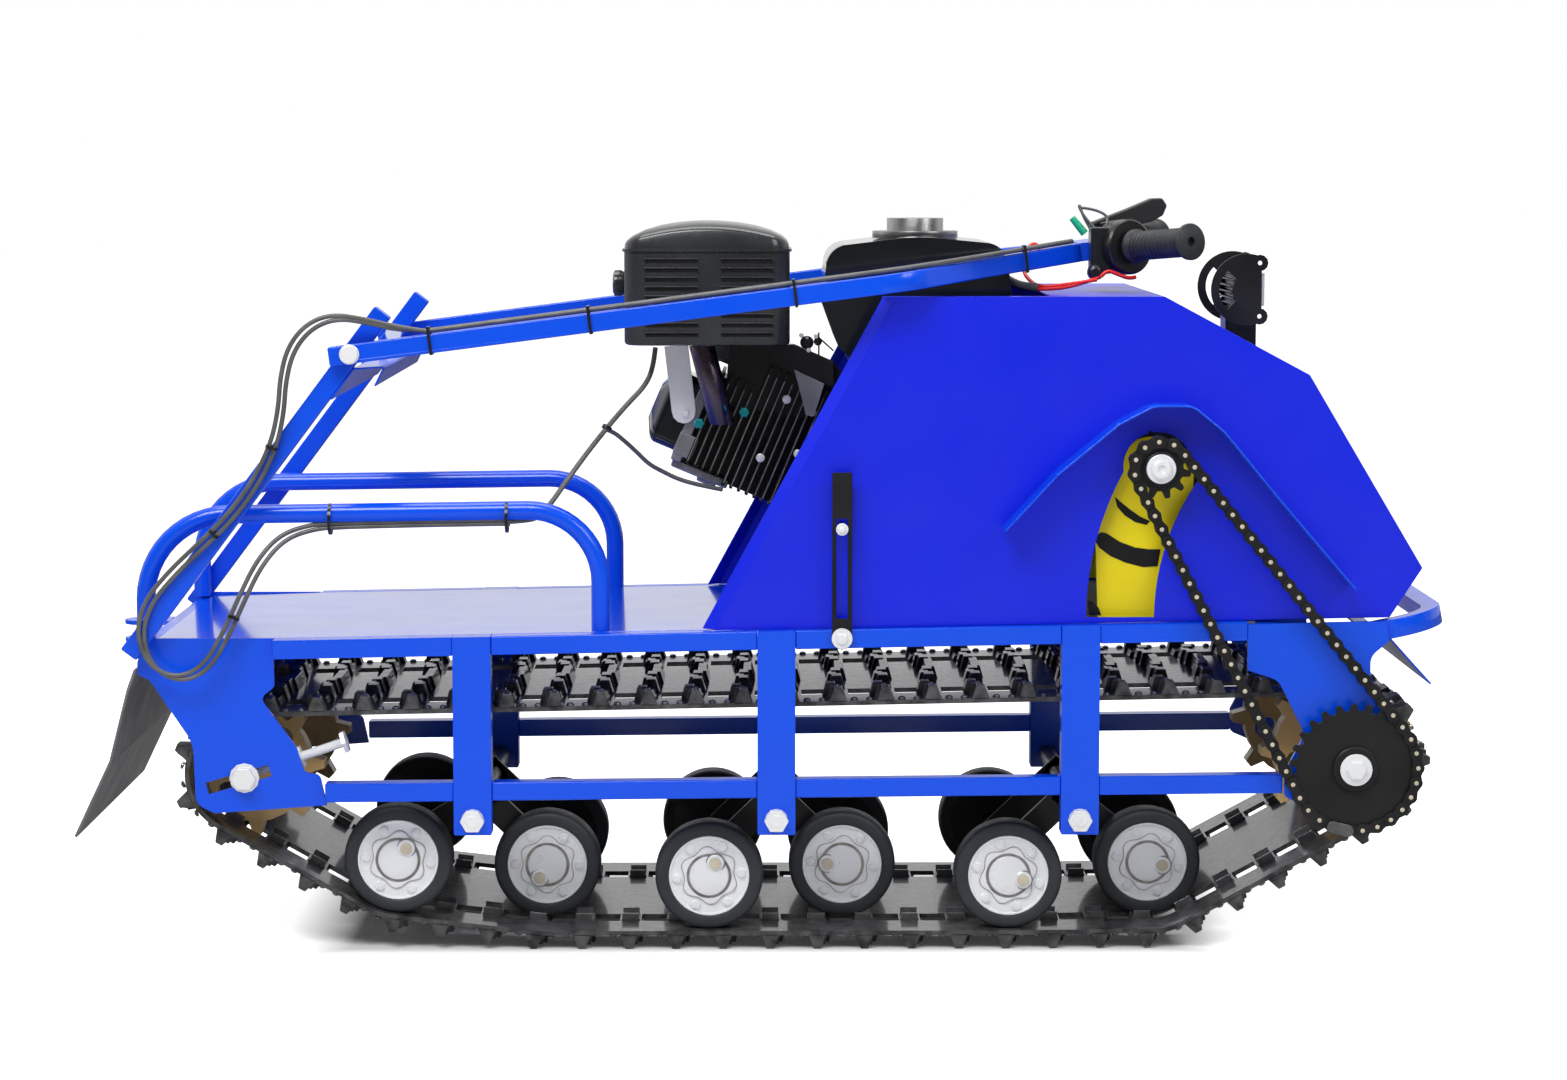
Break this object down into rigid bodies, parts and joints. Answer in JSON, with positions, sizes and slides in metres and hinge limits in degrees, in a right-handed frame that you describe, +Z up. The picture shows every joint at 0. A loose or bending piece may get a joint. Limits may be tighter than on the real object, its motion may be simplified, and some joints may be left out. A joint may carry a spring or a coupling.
{
  "type": "tracked snow tug",
  "caption": "Walk-behind tracked snow tug: a rubber track in a tube frame, a petrol engine under a hood, and a handle folded forward over it.",
  "frame": {"origin": "on the ground, under the middle of the machine's bounding box", "axes": "+X to the front (the hood and bumper), +Z up, so the chain drive is on the -Y side"},
  "size_m": [1.458, 0.5228, 0.8054],
  "materials": {
    "black_paint": "satin",
    "black_plastic": "satin",
    "cable_rubber": "satin",
    "cast_grey": "matte",
    "flap_rubber": "matte",
    "frame_blue": "gloss",
    "grip_rubber": "matte",
    "hood_blue": "gloss",
    "lamp_glass": "clear",
    "sprocket_tan": "matte",
    "steel": "satin",
    "support_yellow": "satin",
    "track_rubber": "matte",
    "tyre_rubber": "matte",
    "zinc": "satin"
  },
  "bodies": {
    "chassis": {"air_filter": "black_plastic", "bogies": "black_paint", "bumper": "frame_blue", "carburettor": "cast_grey", "chain": "steel", "chain_guard": "frame_blue", "chain_pinion": "steel", "chain_wheel": "steel", "cross_members": "frame_blue", "cylinder": "cast_grey", "cylinder_head": "cast_grey", "deck": "frame_blue", "drive_axle": "zinc", "drive_belt": "cable_rubber", "drive_sprockets": "sprocket_tan", "engine_case": "cast_grey", "exhaust_pipe": "steel", "frame_cables": "cable_rubber", "front_flap": "frame_blue", "front_plates": "frame_blue", "fuel_cap": "steel", "fuel_tank": "black_plastic", "headlamp": "black_plastic", "hinge_bolts": "zinc", "hood": "hood_blue", "idler_axle": "zinc", "idler_sprockets": "sprocket_tan", "jack_supports": "support_yellow", "jackshaft": "zinc", "lamp_lens": "lamp_glass", "lamp_plates": "black_paint", "latch_straps": "black_paint", "luggage_loops": "frame_blue", "muffler": "black_paint", "muffler_strap": "zinc", "post_bolts": "zinc", "posts": "frame_blue", "pulleys": "cast_grey", "rails": "frame_blue", "rear_flap": "flap_rubber", "rear_plates": "frame_blue", "recoil_cover": "black_plastic", "rocker_cover": "black_paint", "strut_brace": "frame_blue", "struts": "frame_blue", "tank_brackets": "steel", "tensioner_bolts": "zinc", "tow_hitch": "frame_blue", "track": "track_rubber", "wheel_rims": "zinc", "wheel_tyres": "tyre_rubber"},
    "handle": {"brake_lever": "black_plastic", "brake_perch": "black_plastic", "grips": "grip_rubber", "handle_cables": "cable_rubber", "handle_neck": "frame_blue", "handle_tubes": "frame_blue", "handlebar": "black_paint", "throttle_case": "black_plastic"}
  },
  "joints": [
    {"name": "handle_fold", "type": "hinge", "parent": "chassis", "child": "handle", "pos_m": [-0.42637, 0, 0.641], "axis": [0, -1, 0], "range_deg": [0, 137]}
  ]
}
